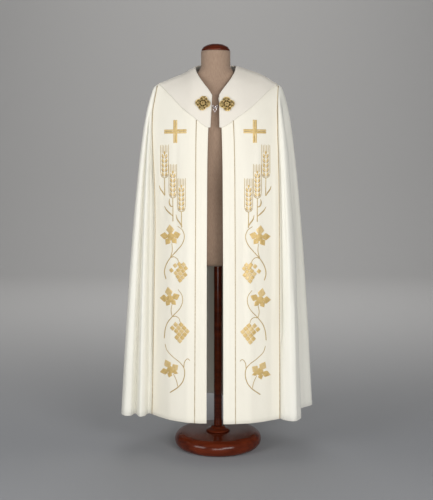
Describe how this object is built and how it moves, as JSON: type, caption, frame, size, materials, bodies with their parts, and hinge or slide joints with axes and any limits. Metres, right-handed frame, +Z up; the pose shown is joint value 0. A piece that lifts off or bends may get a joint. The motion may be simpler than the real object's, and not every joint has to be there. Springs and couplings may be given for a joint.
{
  "type": "cope vestment on a limbless dress form",
  "caption": "Full-length open-front cope with embroidered front panels, a wide shoulder collar and a rosette clasp, on a linen dress form with a turned wooden foot.",
  "frame": {"origin": "centre of the foot's flat underside", "axes": "+Z up along the pole; the garment's open front faces -Y; the wearer's right side is at -X"},
  "size_m": [0.8325, 0.4956, 1.7325],
  "materials": {
    "ivory_cloth": "matt wool blend with a soft sheen",
    "panel_cloth": "matt ribbed wool blend, embroidered",
    "collar_cloth": "matt wool blend, interlined",
    "gold_cord": "gold thread",
    "antique_gold": "antique gold, dark in the recesses",
    "silver": "silver-coloured",
    "form_linen": "tight beige linen cover",
    "mahogany": "dark red-brown gloss lacquer"
  },
  "bodies": {
    "root": {"body_right": "ivory_cloth", "body_left": "ivory_cloth", "orphrey_right": "panel_cloth", "orphrey_left": "panel_cloth", "front_band_right": "panel_cloth", "front_band_left": "panel_cloth", "collar": "collar_cloth", "cord_inner_right": "gold_cord", "cord_inner_left": "gold_cord", "cord_outer_right": "gold_cord", "cord_outer_left": "gold_cord", "rosette_right": "antique_gold", "rosette_left": "antique_gold", "rosette_stud_right": "antique_gold", "rosette_stud_left": "antique_gold", "chain_right_1": "silver", "chain_right_2": "silver", "chain_right_3": "silver", "chain_left_1": "silver", "chain_left_2": "silver", "chain_left_3": "silver", "clasp_ring": "silver", "clasp_drop": "silver", "form_torso": "form_linen", "form_neck_cap": "mahogany", "form_pole": "mahogany", "form_pole_socket": "mahogany", "form_foot": "mahogany"}
  },
  "joints": []
}
